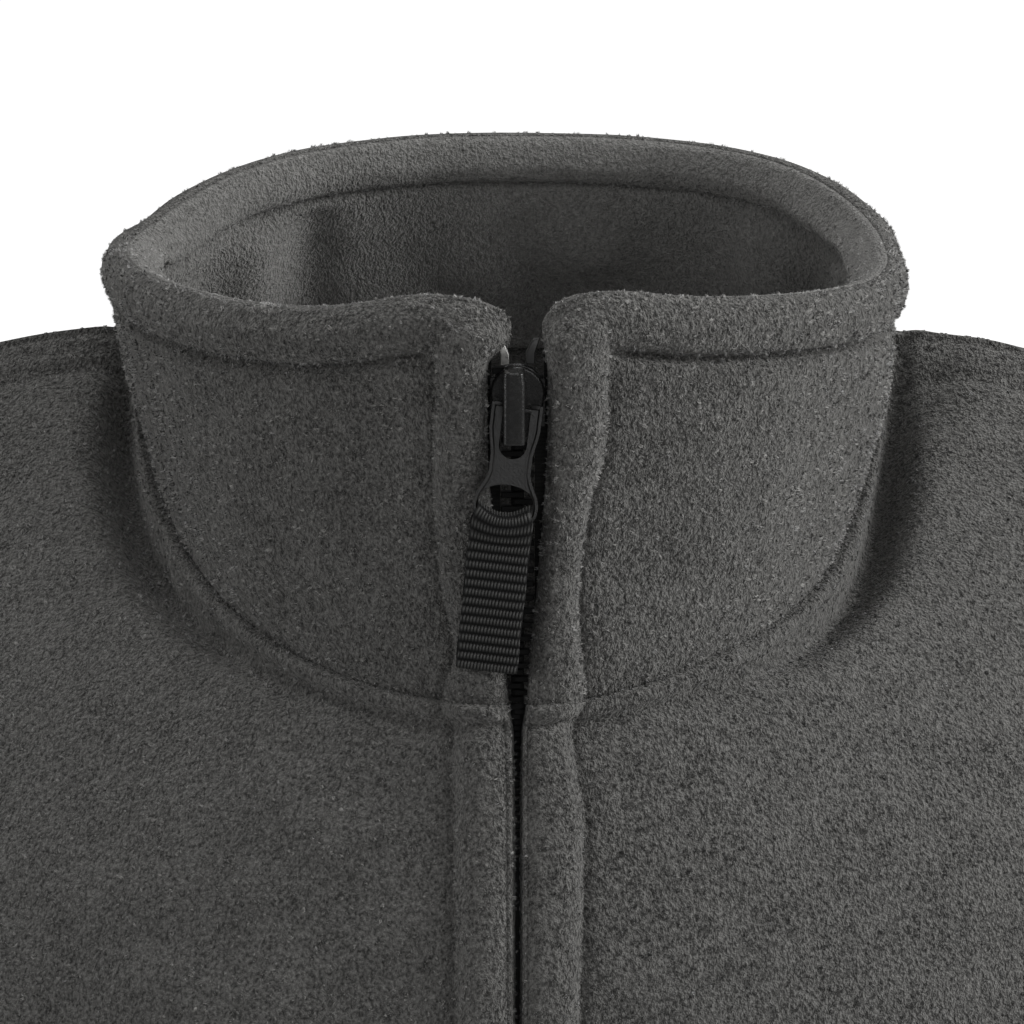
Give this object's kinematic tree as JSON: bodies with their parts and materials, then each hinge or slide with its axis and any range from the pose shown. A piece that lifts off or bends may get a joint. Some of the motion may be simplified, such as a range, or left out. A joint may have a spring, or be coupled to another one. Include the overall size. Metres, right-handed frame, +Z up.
{
  "type": "fleece vest",
  "caption": "Hollow sleeveless fleece vest with a stand-up collar, a full front zip and a webbing zip pull, held open as if worn.",
  "frame": {"origin": "middle of the neck ring, level with the neck ends of the shoulder seams, where a wearer's shoulders carry the vest", "axes": "+Z up, front of the vest faces -Y, +X towards the wearer's left side"},
  "size_m": [0.4346, 0.2702, 0.7036],
  "materials": {
    "fleece": "brushed charcoal-grey polyester fleece with a short mottled nap",
    "tape": "black woven zip tape",
    "zip_teeth": "black moulded plastic",
    "slider_metal": "black enamelled die-cast metal, satin",
    "stop_metal": "darkened metal clip",
    "webbing": "black ribbed webbing"
  },
  "bodies": {
    "vest": {"front_left": "fleece", "front_right": "fleece", "back": "fleece", "collar": "fleece", "collar_facing": "fleece", "zip_tape_left": "tape", "zip_tape_right": "tape", "zip_chain": "zip_teeth", "zip_slider": "slider_metal", "top_stop_left": "stop_metal", "top_stop_right": "stop_metal", "zip_box": "zip_teeth"},
    "zip_pull": {"zip_pull": "slider_metal", "pull_webbing": "webbing"}
  },
  "joints": [
    {"name": "pull_swing", "type": "hinge", "parent": "vest", "child": "zip_pull", "pos_m": [-0.0001, -0.07703, 0.01572], "axis": [-1, 0, 0], "range_deg": [0, 150]}
  ]
}
